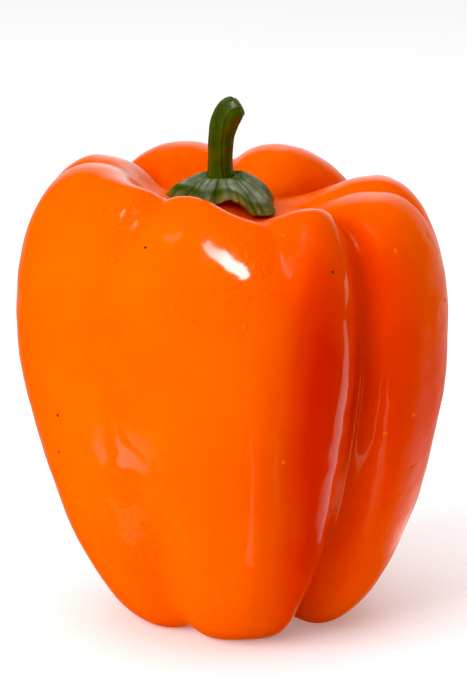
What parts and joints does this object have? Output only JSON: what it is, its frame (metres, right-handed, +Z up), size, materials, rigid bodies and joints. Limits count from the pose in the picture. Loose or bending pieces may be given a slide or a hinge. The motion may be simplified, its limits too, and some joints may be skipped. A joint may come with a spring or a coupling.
{
  "type": "bell pepper",
  "caption": "Blocky orange sweet pepper standing on its lobes, with deep furrows, a sunken green calyx and a short cut stem; a fresh vegetable that rests on its flattened feet.",
  "frame": {"origin": "middle of the bounding box's bottom face, on the surface the pepper stands on", "axes": "+Z up along the stem, -Y towards the front, where the broad left lobe and the deep right furrow are seen, +X to the right"},
  "size_m": [0.0944, 0.094, 0.1163],
  "materials": {
    "waxy_skin": "smooth waxy orange skin, redder in the furrows",
    "calyx_leaf": "matt green with a pale bloom and dark radial grooves",
    "stem_bark": "dark green, finely ribbed lengthwise, pale at the cut"
  },
  "bodies": {
    "root": {"fruit": "waxy_skin", "calyx": "calyx_leaf", "stem": "stem_bark"}
  },
  "joints": []
}
